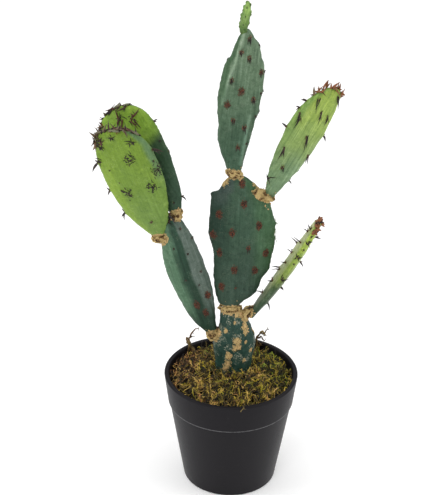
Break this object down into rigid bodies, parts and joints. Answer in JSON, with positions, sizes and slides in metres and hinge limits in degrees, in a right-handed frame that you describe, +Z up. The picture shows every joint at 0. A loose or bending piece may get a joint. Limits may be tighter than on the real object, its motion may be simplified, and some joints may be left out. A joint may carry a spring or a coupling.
{
  "type": "potted prickly pear cactus",
  "caption": "Potted prickly pear cactus: flat green pads growing from each other's edges, with corky collars and spines, in a round banded plastic pot topped with moss.",
  "frame": {"origin": "middle of the pot's underside, on the plane that the pot stands on", "axes": "+Z up along the pot's axis; -Y is the plant's front, with the front left pad nearest; +X is to the right of someone facing the front"},
  "size_m": [0.2226, 0.13, 0.4983],
  "materials": {
    "pot_plastic": "satin",
    "potting_soil": "matte",
    "dry_moss": "matte",
    "old_skin": "satin",
    "mature_skin": "satin",
    "young_skin": "satin",
    "bud_skin": "satin",
    "cork": "matte"
  },
  "bodies": {
    "root": {"pot": "pot_plastic", "soil": "potting_soil", "moss": "dry_moss", "trunk_pad": "old_skin", "centre_pad": "mature_skin", "top_pad": "mature_skin", "top_bud": "bud_skin", "right_pad": "young_skin", "low_right_pad": "young_skin", "low_left_pad": "mature_skin", "left_front_pad": "young_skin", "left_back_pad": "young_skin", "centre_collar": "cork", "top_collar": "cork", "right_collar": "cork", "low_right_collar": "cork", "low_left_collar": "cork", "left_front_collar": "cork", "left_back_collar": "cork"}
  },
  "joints": []
}
